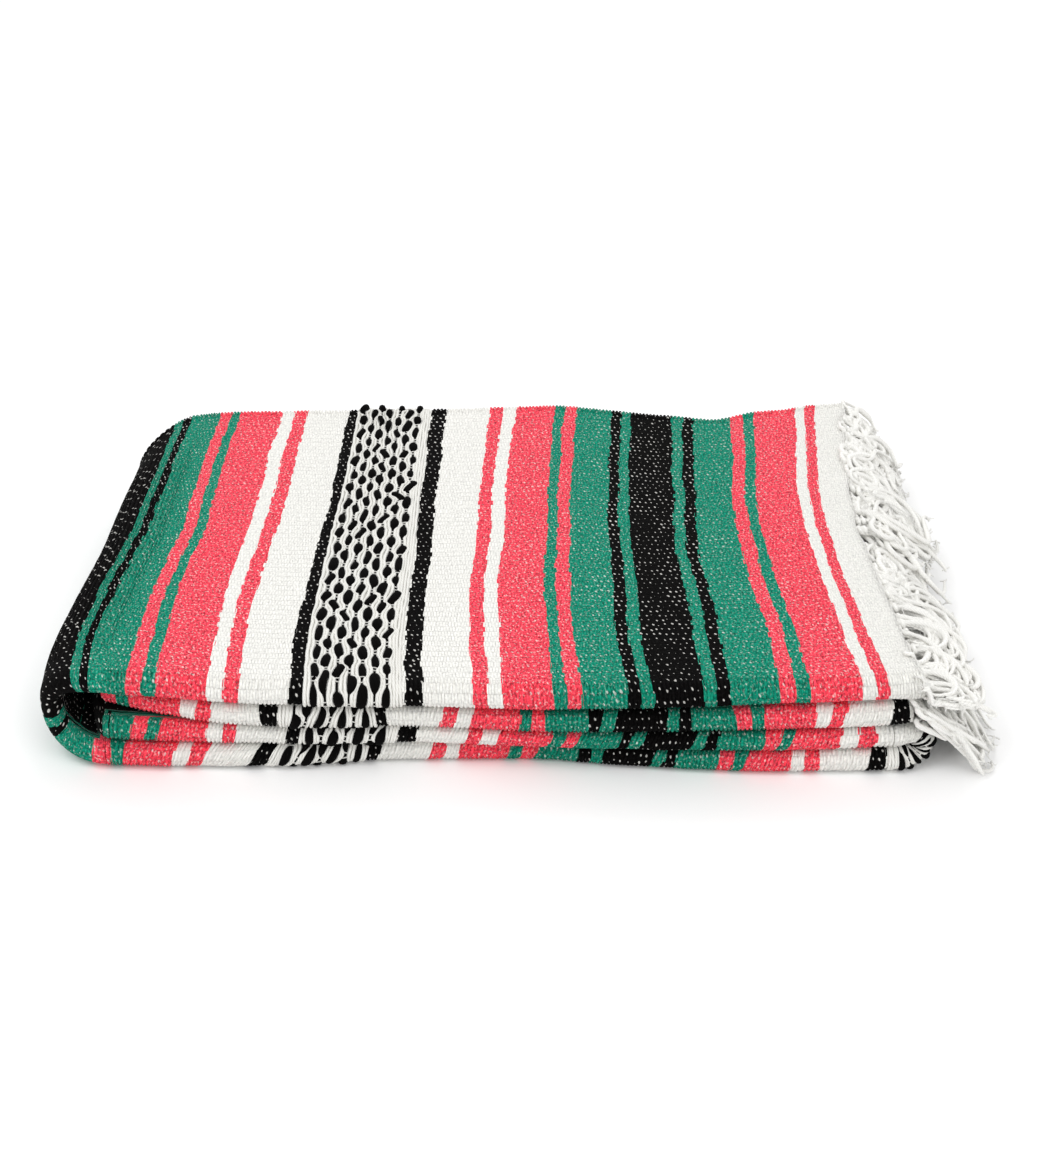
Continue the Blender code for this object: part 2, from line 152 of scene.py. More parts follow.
# How far the stripes stray along X: a row for each place across, a column for each one along.
SWAY_ALONG = (-218, -178, -108, -49, -16, 73, 136, 210)
SWAY_ACROSS = (-160, -105, -60, 0, 57, 155)
SWAY = np.array((
    (0.0, 0.0, 0.0, 0.0, 0.0, 0.0, 0.0, 0.0),
    (-2.7, -1.7, -1.2, -2.4, -2.5, -3.0, -0.8, -5.0),
    (2.2, -1.5, 0.1, -1.2, -3.3, -3.5, -3.5, -9.0),
    (7.4, 5.0, 2.9, 0.8, -0.8, -2.6, -6.0, -11.0),
    (10.2, 5.5, 6.1, 1.8, 1.5, -0.5, -2.5, -8.0),
    (14.0, 9.3, 9.2, 4.3, 6.5, 5.9, 6.5, 3.0),
))

# Columns: place along the length, then the height over each bundle from the bottom one up.
FRONT_HEIGHTS = np.array((
    (-235, 15.0, 29.0, 41.0, 52.5),
    (-190, 15.5, 29.0, 41.0, 52.5),
    (-135, 14.5, 26.0, 39.0, 51.0),
    (-46, 13.5, 23.0, 35.5, 48.0),
    (19, 12.5, 22.0, 35.0, 48.0),
    (118, 12.5, 24.0, 38.5, 51.5),
    (160, 12.5, 25.0, 40.0, 52.5),
    (230, 13.0, 26.0, 39.5, 51.5),
))
BACK_HEIGHTS = np.array((
    (-235, 11.5, 23.0, 34.5, 46.0),
    (-190, 12.0, 24.0, 36.0, 48.0),
    (-135, 12.0, 24.0, 36.0, 48.5),
    (-46, 12.5, 24.5, 37.0, 49.5),
    (19, 12.5, 25.0, 37.5, 50.0),
    (118, 11.5, 23.5, 35.0, 46.5),
    (160, 12.0, 24.0, 36.0, 48.0),
    (230, 13.5, 27.0, 40.5, 54.0),
))

# Columns: place along the length, then the edge of each bundle from the bottom one up.
FRONT_EDGES = np.array((
    (-235, -152.5, -149.5, -147.5, -144.5),
    (-190, -154.5, -152.5, -151.5, -150.5),
    (-135, -155.0, -154.5, -154.5, -155.0),
    (-46, -149.5, -152.0, -153.0, -154.0),
    (19, -150.5, -156.0, -156.5, -157.0),
    (70, -156.5, -158.5, -158.5, -158.5),
    (118, -161.0, -160.0, -159.5, -159.0),
    (160, -161.5, -159.5, -159.5, -158.5),
    (230, -159.5, -156.5, -155.5, -153.5),
))
BACK_EDGES = np.array((
    (-235, 150.0, 152.0, 151.0, 151.0),
    (-190, 157.0, 158.0, 155.0, 157.0),
    (-135, 159.0, 157.0, 158.5, 157.5),
    (-46, 160.0, 156.5, 159.0, 158.5),
    (19, 159.0, 158.0, 160.0, 160.5),
    (118, 157.5, 159.0, 156.5, 154.5),
    (160, 158.0, 160.5, 158.0, 157.5),
    (230, 159.0, 159.5, 161.0, 162.0),
))

# Columns: place along, place across, half length, half width, turn in degrees, height.
SOFT_FOLDS = (
    (112.0, 70.0, 80.0, 22.0, 100.0, -1.3),
    (126.0, 158.0, 46.0, 17.0, 95.0, -4.0),
    (-60.0, -60.0, 90.0, 28.0, 75.0, -0.9),
    (40.0, -20.0, 120.0, 26.0, 97.0, 0.9),
    (175.0, -40.0, 80.0, 22.0, 100.0, 1.2),
    (-165.0, 20.0, 95.0, 24.0, 82.0, 0.8),
    (-120.0, 110.0, 60.0, 22.0, 20.0, -0.8),
)


def through(knots, values, at):
    """Read a smooth curve through a table. The values may differ from place to place."""
    knots = np.asarray(knots, float)
    values = np.asarray(values, float)
    at = np.clip(at, knots[0], knots[-1])
    i = np.clip(np.searchsorted(knots, at) - 1, 0, len(knots) - 2)
    slopes = np.gradient(values, knots, axis=0)

    def pick(table, row):
        return table[row] if table.ndim == 1 else np.take_along_axis(table, row[None], axis=0)[0]

    step = knots[i + 1] - knots[i]
    t = (at - knots[i]) / step
    rise = pick(values, i) * (1 + 2 * t) * (1 - t) ** 2 + pick(values, i + 1) * t * t * (3 - 2 * t)
    lean = pick(slopes, i) * t * (1 - t) ** 2 + pick(slopes, i + 1) * t * t * (t - 1)
    return rise + lean * step


def column(table, number, at):
    """Read one column of a table whose first column is the place along the length."""
    return through(table[:, 0], table[:, number], at)


def swayed(along, across):
    """Where a point of the straight cloth comes to lie along X."""
    along, across = np.broadcast_arrays(along, across)
    here = np.stack([through(SWAY_ACROSS, SWAY[:, i], across) for i in range(len(SWAY_ALONG))])
    return along + through(SWAY_ALONG, here, along)


def soft_folds(along, across):
    """The height that the soft troughs and ridges add to the top."""
    total = 0.0
    for x, y, half_length, half_width, turn, height in SOFT_FOLDS:
        c = math.cos(math.radians(turn))
        s = math.sin(math.radians(turn))
        length = ((along - x) * c + (across - y) * s) / half_length
        width = ((across - y) * c - (along - x) * s) / half_width
        total = total + height * np.exp(-length * length - width * width)
    return total


def level(face, along, across):
    """Height of the face over a number of bundles, 0 for the floor and 4 for the top."""
    if face == 0:
        return np.zeros(np.broadcast(along, across).shape)
    v = np.clip(across / LAYER + 0.5, 0.0, 1.0)
    v = v * v * (3 - 2 * v)
    front = column(FRONT_HEIGHTS, face, along)
    back = column(BACK_HEIGHTS, face, along)
    return front * (1 - v) + back * v + soft_folds(along, across) * face / 4


def under(bundle, along, across):
    """Lower face of a bundle, 0 for the bottom one and 3 for the top one."""
    return level(bundle, along, across) + (GAP / 2 if bundle else 0.0)


def over(bundle, along, across):
    """Upper face of a bundle."""
    return level(bundle + 1, along, across) - (GAP / 2 if bundle < 3 else 0.0)


# Where the cloth runs. A place on it is given by u, the way along the cloth from its middle, and
# v, the way round a bundle from the front fold: back over the first layer, round the back fold,
# forward in the second layer, and so on to the last selvedge.

# One repeat of the stripes, and the thickness of the cloth that is drawn.
PERIOD = 327.0
LAYER_THICK = 2.3
# How far the front fold, the back fold and the inner front fold reach in v from their middles.
V_ROLL = 10.0
V_FOLD = 2.5
V_INNER = 3.0
# The stripes slant over this much of v at the front, and less within this much u of an end.
SLANT_RUN = 12.0
SLANT_FADE = 28.0
# How far the layers' edges and folds stay inside the bundle's own edges.
SELVEDGE_INSET = 1.5
FOLD_INSET = 3.4
INNER_FRONT_INSET = 5.0
INNER_BACK_INSET = 3.0
# The middles of the outer and the inner layers, as shares of the thickness from its middle.
OUTER_LAYER = 0.375
INNER_LAYER = 0.125
# A woven end wavers by this much, from this u on and within this much u.
END_WAVER = 1.3
END_FROM = 930.0
END_RUN = 14.0
# The second stretch draws back from the front, from this place to one this far to its left.
DRAWN_FROM = -142.0
DRAWN_RUN = 62.0
# How much the back edge, the front edge and the faces waver.
BACK_WAVER = 1.1
FRONT_WAVER = 0.5
FACE_WAVER = 0.3

# One entry for each stretch, in mm.
# bundle, next: the bundle it lies in, 0 for the bottom one, and the one its fold leads to.
# fold_outside: whether its first layer lies at the outside of the fold.
# lies: (place along, u) from its one end to the other.
# turn: the u at the far end of its fold. round: (u, share of the way round) within the fold.
# start, reach, side: where the fold starts, how far it reaches, and 1 for right or -1 for left.
# belly, hollow: how far the fold bellies out at its middle, and its inside into a teardrop.
# flip: whether its fold climbs to the next bundle, which swaps the bundle's two faces.
# corner, onset: how far the fold is rounded off at the front and the back, and over which
# shares of the way round the front corner comes and goes.
# tilt: how much the stripes slant at the front, at the left and at the right end.
# tucked: how far the fold, or the left end, is drawn back from the front.
# painted_shade_stripe: the middle of the black stripe that is repeated in place of the cloth's own
# stripes, as painted shade in the hollow of the left turn, the side of v that gets it, the u that
# this runs from and to, and the u that it runs to elsewhere.
STRETCHES = {
    "top_stretch": {
        "bundle": 3, "next": 0, "fold_outside": True,
        "lies": ((TOP_END, 944.0), (177.4, 906.5), (97.4, 830.3), (-3.0, 727.5),
                 (-78.0, 654.0), (-136.0, 594.0), (-191.5, 539.7), (WRAP_START, 523.0)),
        "round": ((517.0, 0.045), (510.0, 0.09), (503.3, 0.14), (477.7, 0.56), (464.0, 0.7),
                  (437.0, 1.0)),
        "turn": 437.0, "start": WRAP_START, "reach": WRAP_REACH, "side": -1, "belly": WRAP_BELLY,
        "flip": False, "hollow": 0.0, "corner": (9.0, 34.0), "onset": (0.5, 0.5), "tilt": (0.0, 0.0),
        "painted_shade_stripe": (1.5 * PERIOD, -1, 440.0, 523.0, 440.0), "tucked": 0.0,
    },
    "bottom_stretch": {
        "bundle": 0, "next": 1, "fold_outside": True,
        "lies": ((WRAP_START + GAP, 437.0), (-97.0, 327.0), (15.0, 213.0), (74.0, 150.7),
                 (150.0, 68.0), (CENTRE_FOLD_START, 22.0)),
        "turn": -51.0, "start": CENTRE_FOLD_START, "reach": CENTRE_FOLD_REACH, "side": 1,
        "belly": 0.0, "flip": True, "hollow": TEARDROP, "corner": (5.0, 22.0),
        "onset": (0.5, 0.5), "tilt": (0.55, 0.1), "tucked": 0.0,
    },
    "third_stretch": {
        "bundle": 1, "next": 2, "fold_outside": False,
        "lies": ((CENTRE_FOLD_START - GAP, -51.0), (168.0, -74.5), (92.0, -150.7), (20.0, -227.0),
                 (-81.5, -327.0), (-153.5, -401.5), (WRAP_START, -454.5)),
        "turn": -540.0, "start": WRAP_START, "reach": WRAP_REACH - BUNDLE - GAP, "side": -1,
        "belly": WRAP_BELLY, "flip": True, "hollow": TEARDROP, "corner": (55.0, 22.0),
        "onset": (0.3, 0.07), "tilt": (0.12, 0.2), "tucked": 12.0,
        "painted_shade_stripe": (-1.5 * PERIOD, 1, -536.0, -412.0, -448.0),
    },
    "second_stretch": {
        "bundle": 2, "next": None, "fold_outside": False,
        "lies": ((WRAP_START + GAP, -540.0), (-164.1, -579.5), (-91.0, -654.0), (6.0, -754.0),
                 (86.7, -837.0), (169.1, -921.0), (SECOND_END, -958.0)),
        "turn": None, "flip": False, "tilt": (0.0, 0.15), "tucked": 12.0,
    },
}


def squircle(share):
    """Cosine and sine of a half turn, drawn out towards a square."""
    power = 2 / WRAP_SQUARENESS
    c = np.cos(math.pi * share)
    s = np.abs(np.sin(math.pi * share))
    return np.copysign(np.abs(c) ** power, c), s ** power


def lattice(seed):
    """A small table of random numbers, for noise()."""
    return np.random.default_rng(seed).uniform(-1.0, 1.0, (64, 64))


def noise(table, a, b):
    """Smooth noise from -1 to 1 over two coordinates."""
    i = np.floor(a).astype(int)
    j = np.floor(b).astype(int)
    s = a - i
    t = b - j
    s = s * s * (3 - 2 * s)
    t = t * t * (3 - 2 * t)
    rows = (i % 64, (i + 1) % 64)
    columns = (j % 64, (j + 1) % 64)
    low = table[rows[0], columns[0]] * (1 - s) + table[rows[1], columns[0]] * s
    high = table[rows[0], columns[1]] * (1 - s) + table[rows[1], columns[1]] * s
    return low * (1 - t) + high * t


WAVES = lattice(5)
RIPPLES = lattice(9)


def section(v, front, back, roll):
    """Place across, and share of the bundle's thickness, of a point v round the bundle."""
    lean = np.clip(np.abs(v) / V_ROLL, 0, 1) * math.pi / 2
    arc = front + SELVEDGE_INSET + (roll - SELVEDGE_INSET) * (1 - np.cos(lean))
    after = np.clip((np.abs(v) - V_ROLL) / (LAYER - V_ROLL - V_FOLD), 0, 1)
    back_line = np.where(v < 0, back - SELVEDGE_INSET, back - FOLD_INSET)
    y = arc + (back_line - arc) * after
    s = 0.5 + np.sign(v) * OUTER_LAYER * np.sin(lean)
    # The back fold, from the first layer to the second.
    tip = np.clip((v - LAYER) / V_FOLD, -1, 1) * math.pi / 2
    fold = v > LAYER - V_FOLD
    y = np.where(fold, back - FOLD_INSET + 1.9 * np.cos(tip), y)
    s = np.where(fold, 0.75 - INNER_LAYER * np.sin(tip), s)
    # The second and third layer, and the inner front fold between them.
    bend = np.clip((v - 2 * LAYER) / V_INNER, -1, 1) * math.pi / 2
    inner_front = front + INNER_FRONT_INSET + 3.0 * (1 - np.cos(bend))
    inner = v > LAYER + V_FOLD
    run = np.clip((np.abs(v - 2 * LAYER) - V_INNER) / (LAYER - V_INNER - V_FOLD), 0, 1)
    inner_back = np.where(v < 2 * LAYER, back - FOLD_INSET, back - INNER_BACK_INSET)
    y = np.where(inner, inner_front + (inner_back - inner_front) * run, y)
    s = np.where(inner, 0.5 - INNER_LAYER * np.sin(bend), s)
    return y, s


def place(name, u, v, proud=0.0):
    """Where the middle of the cloth lies, in the solids' frame, for arrays of u and v.

    proud raises the point out of the first layer, along the cloth's normal.
    """
    if np.any(proud):
        step = 0.4
        along = place(name, u + step, v) - place(name, u - step, v)
        round_it = place(name, u, v + step) - place(name, u, v - step)
        normal = np.cross(along, round_it)
        normal /= np.linalg.norm(normal, axis=-1, keepdims=True)
        return place(name, u, v) + normal * (np.asarray(proud) * MM)[..., None]
    info = STRETCHES[name]
    bundle = info["bundle"]
    lies = np.array(info["lies"])
    order = np.argsort(lies[:, 1])
    along = np.interp(u, lies[order, 1], lies[order, 0])
    # At the front the stripes slant a little, one way or the other, but not near the turns.
    left, right = info["tilt"]
    slant = left + (right - left) * (along - WRAP_START) / (TOP_END - WRAP_START)
    if name != "top_stretch":
        slant = slant + 0.3 * noise(RIPPLES, u / 31.0, 0 * v + 50.0)
    from_end = np.minimum(lies[:, 1].max() - u, u - lies[:, 1].min())
    u = u + slant * np.clip(from_end / SLANT_FADE, 0, 1) * np.clip(v, -SLANT_RUN, SLANT_RUN)
    along = np.interp(u, lies[order, 1], lies[order, 0])
    # A woven end isn't quite straight.
    waver = END_WAVER * noise(RIPPLES, v / 11.0, 0 * u + 20.0)
    along = along + waver * np.clip((np.abs(u) - END_FROM) / END_RUN, 0, 1)
    last_u = lies[-1, 1]
    share = np.zeros(np.shape(u))
    if info["turn"] is not None:
        knots = np.array(((last_u, 0.0),) + info.get("round", ()) + ((info["turn"], 1.0),))
        knots = knots[np.argsort(knots[:, 0])]
        share = np.interp(u, knots[:, 0], knots[:, 1])
    front = column(FRONT_EDGES, bundle + 1, along)
    back = column(BACK_EDGES, bundle + 1, along)
    roll = np.full(np.shape(along), TOP_ROLL if bundle == 3 else FRONT_ROLL)
    if info["turn"] is not None:
        bow = np.minimum(share / info["onset"][0], (1 - share) / info["onset"][1])
        bow = np.sin(math.pi / 2 * np.clip(bow, 0, 1)) ** 1.5
        front = front + (column(FRONT_EDGES, info["next"] + 1, along) - front) * share
        back = back + (column(BACK_EDGES, info["next"] + 1, along) - back) * share
        roll = roll + (FRONT_ROLL - roll) * share
        front = front + info["corner"][0] * bow + info["tucked"] * share
        back = back - info["corner"][1] * np.sin(math.pi * share) ** 1.5
    else:
        # At its left end the second stretch lies back from the front.
        front = front + info["tucked"] * np.clip((DRAWN_FROM - along) / DRAWN_RUN, 0, 1) ** 1.6
    back = back + BACK_WAVER * noise(WAVES, u / 23.0, v * 0 + 3.0 * bundle)
    front = front + FRONT_WAVER * noise(WAVES, u / 17.0, v * 0 + 30.0 + 3.0 * bundle)
    y, s = section(v, front, back, roll)
    if not info["fold_outside"]:
        s = 1 - s
    low, high = under(bundle, along, y), over(bundle, along, y)
    if info["flip"]:
        low, high = high, low
    x_low = x_high = swayed(along, y)
    if info["turn"] is not None:
        turned = share > 0
        down = 1 - share if info["flip"] else share
        c, out = squircle(down)
        side, reach, start = info["side"], info["reach"], info["start"]
        belly = info["belly"] * (1 - (2 * y / LAYER) ** 2)
        upper, lower = (bundle, info["next"]) if info["next"] < bundle else (info["next"], bundle)

        def folded(top, bottom):
            middle = bottom + (top - bottom) * WRAP_MIDDLE
            return middle + c * np.where(c > 0, top - middle, middle - bottom)

        outside = folded(over(upper, start, y), under(lower, start, y))
        inside = folded(under(upper, start, y), over(lower, start, y))
        inside = inside + info["hollow"] * np.sin(2 * math.pi * down)
        base = swayed(start, y)
        x_high = np.where(turned, base + side * (reach + belly) * out, x_high)
        x_low = np.where(turned, base + side * (reach + belly - BUNDLE) * out, x_low)
        low = np.where(turned, inside, low)
        high = np.where(turned, outside, high)
    x = x_low + (x_high - x_low) * s
    z = low + (high - low) * s
    shown = np.clip(1.5 * np.abs(s - 0.5) * 2 - 0.5, 0, 1)
    z = z + FACE_WAVER * shown * noise(RIPPLES, u / 19.0, v / 27.0)
    return (np.stack([x, y, z], axis=-1) - ORIGIN) * MM


# The weave, a weft-faced plain weave: thick weft packs over a thinner white warp, which shows
# between its grains as specks. A stripe changes from one weft yarn to the next, so its edges
# are toothed.

# Spacing in mm of the weft yarns, the warp yarns, and the specks along one row.
PICK = 1.66
WARP = 4.8
SPECK_PITCH = 3.4
GREEN = "#12866C"
PINK = "#F4485A"
BLACK = "#090808"
WHITE = "#EFEEE9"
WARP_WHITE = "#F2F0EA"
# Half the width of a slub band. The black stripe at one side of it is a little wider.
SLUB_BLOCK = 25.0
BLACK_END = 32.0
WIDER = 1.8
# Columns: way from the middle of a slub band, colour, and how much the warp shows.
STRIPES = (
    (0.0, WHITE, 0.0),
    (SLUB_BLOCK, BLACK, 0.72),
    (BLACK_END, WHITE, 0.0),
    (60.0, PINK, 0.6),
    (67.5, WHITE, 0.0),
    (74.5, PINK, 0.6),
    (100.0, GREEN, 0.62),
    (106.3, PINK, 0.6),
    (114.0, GREEN, 0.62),
    (137.0, BLACK, 0.74),
    (144.0, GREEN, 0.62),
    (150.7, BLACK, 0.7),
)


def woven(name):
    """Falsa cloth of soft-spun acrylic and cotton: matt and heathered, with a faint fuzz."""
    material = bpy.data.materials.new(name)
    material.use_nodes = True
    tree = material.node_tree
    layout = node(tree, "UVMap", uv_map="cloth")[0]
    flat = node(tree, "VectorMath", (layout, (1000.0, 1000.0, 0.0)), operation="MULTIPLY")[0]
    # The yarns wander by a millimetre or two.
    wander = node(tree, "TexNoise", {"Vector": layout, "Scale": 17.0, "Detail": 3.0},
                  noise_dimensions="2D")[1]
    wander = node(tree, "VectorMath", (wander, (0.5, 0.5, 0.5)), operation="SUBTRACT")[0]
    laid = node(tree, "VectorMath", (wander, (4.6, 4.6, 0.0), flat), operation="MULTIPLY_ADD")[0]
    # The grains of the weft, each with a tone of its own.
    grains = node(tree, "TexBrick", {
        "Vector": laid, "Color1": (0, 0, 0, 1), "Color2": (1, 1, 1, 1), "Mortar": (0.5, 0.5, 0.5, 1),
        "Scale": 1.0, "Mortar Size": 0.16, "Mortar Smooth": 0.8, "Brick Width": PICK, "Row Height": WARP})
    tone = node(tree, "SeparateColor", (grains[0],))[0]
    # Stripes, toothed by the grains.
    across = node(tree, "SeparateXYZ", (laid,))[0]
    tooth = node(tree, "Math", (tone, 1.5, -0.75), operation="MULTIPLY_ADD")[0]
    way = node(tree, "Math", (across, tooth), operation="ADD")[0]
    way = node(tree, "Math", (way, PERIOD / 2, -PERIOD / 2), operation="WRAP")[0]
    way = node(tree, "Math", (way, 1 / PERIOD, 0.5), operation="MULTIPLY_ADD")[0]
    stripes = node(tree, "ValToRGB", (way,))
    stops = tree.nodes[-1].color_ramp
    stops.interpolation = "CONSTANT"
    # The order of the stripes is mirrored about the slub band, where it starts.
    ends = [stripe[0] for stripe in STRIPES[1:]] + [PERIOD / 2]
    order = [(-end, *stripe[1:]) for end, stripe in zip(ends[:0:-1], STRIPES[:0:-1])]
    order += [(-ends[0], *STRIPES[0][1:])]
    order += [(begin + WIDER if begin == BLACK_END else begin, *rest) for begin, *rest in STRIPES[1:]]
    while len(stops.elements) < len(order):
        stops.elements.new(0.5)
    for stop, (begin, colour, shows) in zip(stops.elements, order):
        stop.position = 0.5 + begin / PERIOD
        stop.color = linear(colour)[:3] + [shows]
    parts = node(tree, "SeparateColor", (stripes[0],))
    # Specks of the warp, in staggered rows, and light flecks in the coloured yarns.
    slant = (1 / SPECK_PITCH, 0.5 / WARP, 0.0)
    spot_u = node(tree, "VectorMath", (laid, slant), operation="DOT_PRODUCT")[1]
    spot_v = node(tree, "VectorMath", (laid, (0.0, 1 / WARP, 0.0)), operation="DOT_PRODUCT")[1]
    spots = node(tree, "TexVoronoi", {
        "Vector": node(tree, "CombineXYZ", (spot_u, spot_v, 0.0))[0], "Scale": 1.0, "Randomness": 0.42},
        voronoi_dimensions="2D")
    chance = node(tree, "SeparateColor", (spots[1],))[0]
    patchy = node(tree, "TexNoise", {"Vector": layout, "Scale": 45.0, "Detail": 2.0},
                  noise_dimensions="2D")[0]
    size = node(tree, "Math", (chance, 0.13, -0.2), operation="MULTIPLY_ADD")[0]
    size = node(tree, "Math", (patchy, 0.2, size), operation="MULTIPLY_ADD")[0]
    size = node(tree, "Math", (stripes[1], 0.2, size), operation="MULTIPLY_ADD")[0]
    speck = node(tree, "Math", (size, spots[0]), operation="SUBTRACT")[0]
    speck = node(tree, "MapRange", (speck, -0.04, 0.05, 0.0, 1.0), interpolation_type="SMOOTHSTEP")[0]
    fine = node(tree, "TexNoise", {"Vector": layout, "Scale": 700.0, "Detail": 2.0, "Roughness": 0.6},
                noise_dimensions="2D")
    streaks = node(tree, "VectorMath", (layout, (1.0, 0.22, 0.0)), operation="MULTIPLY")[0]
    streaks = node(tree, "TexNoise", {"Vector": streaks, "Scale": 1100.0, "Detail": 2.0},
                   noise_dimensions="2D")[0]
    bright = node(tree, "Math", (parts[0], 0.6), operation="MULTIPLY")[0]
    bright = node(tree, "Math", (parts[1], 1.5, bright), operation="MULTIPLY_ADD")[0]
    fleck = node(tree, "SeparateColor", (fine[1],))[1]
    fleck = node(tree, "MapRange", (fleck, 0.56, 0.7, 0.0, 1.0), interpolation_type="SMOOTHSTEP")[0]
    fleck = node(tree, "Math", (fleck, bright), operation="MULTIPLY")[0]
    shows = node(tree, "Math", (speck, fleck), operation="MAXIMUM")[0]
    shows = node(tree, "Math", (shows, stripes[1]), operation="MULTIPLY")[0]
    # Heathering: each grain and its fibres differ a little in tone, and the hollow round each grain
    # is darkened as painted shade. The white yarns are evener.
    shade = node(tree, "Math", (fine[0], 1.9, 0.05), operation="MULTIPLY_ADD")[0]
    shade = node(tree, "Math", (streaks, 0.8, shade), operation="MULTIPLY_ADD")[0]
    shade = node(tree, "Math", (tone, 0.16, shade), operation="MULTIPLY_ADD")[0]
    # Painted shade: the mortar between the grains is darkened.
    shade = node(tree, "Math", (grains[1], -0.25, shade), operation="MULTIPLY_ADD")[0]
    shade = node(tree, "Math", (shade, 0.48), operation="SUBTRACT")[0]
    even = node(tree, "MapRange", (parts[2], 0.3, 0.6, 1.0, 0.3))[0]
    shade = node(tree, "Math", (shade, 1.0), operation="SUBTRACT")[0]
    shade = node(tree, "Math", (shade, even, 1.0), operation="MULTIPLY_ADD")[0]
    yarn = node(tree, "VectorMath", {0: stripes[0], 3: shade}, operation="SCALE")[0]
    colour = node(tree, "Mix", {0: shows, 6: yarn, 7: linear(WARP_WHITE)}, data_type="RGBA")[2]
    height = node(tree, "Math", (grains[1], -0.5, fine[0]), operation="MULTIPLY_ADD")[0]
    height = node(tree, "Math", (streaks, 0.6, height), operation="MULTIPLY_ADD")[0]
    bump = node(tree, "Bump", {"Height": height, "Strength": 0.8, "Distance": 0.0009})[0]
    shader = tree.nodes["Principled BSDF"]
    tree.links.new(colour, shader.inputs["Base Color"])
    tree.links.new(bump, shader.inputs["Normal"])
    shader.inputs["Roughness"].default_value = 0.95
    shader.inputs["Sheen Weight"].default_value = 0.01
    shader.inputs["Specular IOR Level"].default_value = 0.03
    return material


# Nothing is drawn lower than this over the floor.
LOWEST = 0.15
# The painted shade stripe shows this much of the black stripe to either side of its middle, and
# starts this far round from the front.
SHADE_STRIPE_HALF = 12.0
SHADED_FROM = 11


def build(name, points, faces, uvs, material):
    """An object from arrays of points, arrays of faces and one UV for each point."""
    mesh = bpy.data.meshes.new(name)
    points[..., 2] = np.maximum(points[..., 2], LOWEST * MM)
    corner_lists = [face for part in faces for face in part.tolist()]
    mesh.from_pydata(points.reshape(-1, 3).tolist(), [], corner_lists)
    layer = mesh.uv_layers.new(name="cloth")
    corners = np.empty(len(mesh.loops), int)
    mesh.loops.foreach_get("vertex_index", corners)
    layer.data.foreach_set("uv", uvs.reshape(-1, 2)[corners].astype(np.float32).ravel())
    mesh.materials.append(material)
    mesh.shade_smooth()
    piece = bpy.data.objects.new(name, mesh)
    scene.collection.objects.link(piece)
    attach(piece, "root")
    return piece


def steps(*runs):
    """Places from a list of (first, last, step), without repeats."""
    parts = []
    for first, last, step in runs:
        count = max(int(round(abs(last - first) / step)), 1)
        parts.append(np.linspace(first, last, count, endpoint=False))
    return np.concatenate(parts + [[runs[-1][1]]])


def stretch(name, material):
    """One stretch of the cloth, from its one end round its fold."""
    info = STRETCHES[name]
    top = name == "top_stretch"
    lies = info["lies"]
    us = [(lies[0][1], lies[-1][1], 5.0 if top else 8.0)]
    if info["turn"] is not None:
        us.append((lies[-1][1], info["turn"], 2.5))
    us = steps(*us)
    # Each run is a first and a last place and a step, which is shorter where the cloth bends.
    vs = steps(
        (-LAYER, -LAYER + 12, 6.0), (-LAYER + 12, -30, 16.0), (-30, -V_ROLL, 5.0), (-V_ROLL, V_ROLL, 1.6),
        (V_ROLL, 30, 4.0 if top else 5.0), (30, LAYER - 12, 5.0 if top else 16.0),
        (LAYER - 12, LAYER - V_FOLD, 4.5), (LAYER - V_FOLD, LAYER + V_FOLD, 0.9),
        (LAYER + V_FOLD, LAYER + 15, 6.0), (LAYER + 15, 2 * LAYER - 15, 24.0),
        (2 * LAYER - 15, 2 * LAYER - V_INNER, 6.0), (2 * LAYER - V_INNER, 2 * LAYER + V_INNER, 1.5),
        (2 * LAYER + V_INNER, 3 * LAYER - 15, 24.0), (3 * LAYER - 15, 3 * LAYER, 7.0),
    )
    # A flat grid is bent into the fold, point by point.
    grid = bmesh.new()
    bmesh.ops.create_grid(grid, x_segments=len(us) - 1, y_segments=len(vs) - 1, size=0.5)
    flat = np.array([vert.co[:2] for vert in grid.verts]) + 0.5
    faces = np.array([[vert.index for vert in face.verts] for face in grid.faces])
    grid.free()
    u = us[np.rint(flat[:, 0] * (len(us) - 1)).astype(int)]
    v = vs[np.rint(flat[:, 1] * (len(vs) - 1)).astype(int)]
    shown = u
    if "painted_shade_stripe" in info:
        # Inside the left turn the black stripe is repeated in place of the cloth's own stripes, as
        # painted shade in the hollow, where part of the cloth is really black.
        stripe, side, low, high, rim_high = info["painted_shade_stripe"]
        limit = np.where(v * side > SHADED_FROM, high, rim_high)
        zigzag = np.abs((u - stripe + SHADE_STRIPE_HALF) % (4 * SHADE_STRIPE_HALF) - 2 * SHADE_STRIPE_HALF)
        shown = np.where((u > low) & (u < limit), stripe + zigzag - SHADE_STRIPE_HALF, u)
    uvs = np.stack([shown, v], axis=-1) * MM
    piece = build(name + "_cloth", place(name, u, v), [faces], uvs, material)
    thick = piece.modifiers.new("thickness", "SOLIDIFY")
    thick.thickness = LAYER_THICK * MM
    thick.offset = 0.0
    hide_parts(name)
    return piece, abs(us[-1] - us[0]) * MM


# Spacing of the ribs, and how far they stay from the ends of their run. They stand out of the
# cloth by RIB_PROUD and dive into it by RIB_DIVE at both tips.
RIB_PITCH = 2.2
RIB_END = 0.8
RIB_HALF_WIDE = 0.98
RIB_HALF_HIGH = 1.12
RIB_PROUD = 0.9
RIB_DIVE = 2.7
RIB_UNEVEN = 0.16


